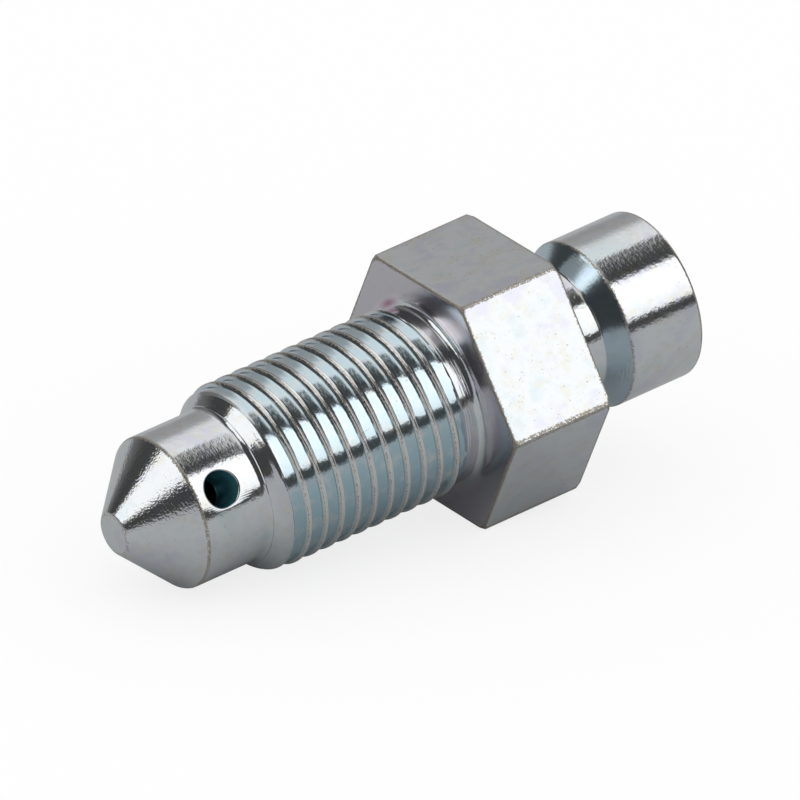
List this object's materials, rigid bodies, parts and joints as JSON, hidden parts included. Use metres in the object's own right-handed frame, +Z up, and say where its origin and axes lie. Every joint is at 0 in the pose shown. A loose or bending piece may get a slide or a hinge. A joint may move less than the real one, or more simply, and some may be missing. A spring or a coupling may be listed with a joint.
{
  "type": "breather plug",
  "caption": "Threaded steel breather plug with a conical seat nose, cross hole, hexagon, axial passage and a grooved hose head.",
  "frame": {"origin": "middle of the hexagon's front face, on the plug's axis, where the thread side begins", "axes": "+Z is up from the surface the plug lies on, +X runs along the ground from the tip towards the head, and the plug's axis lies in the XZ plane, rising towards the head by the angle at which it comes to rest"},
  "size_m": [0.0332, 0.0146, 0.0134],
  "materials": {
    "zinc_plated_steel": "bright zinc plating with a faint blue passivation over turned steel, worn tan at the edges and crests"
  },
  "bodies": {
    "root": {"breather_plug": "zinc_plated_steel"}
  },
  "joints": []
}
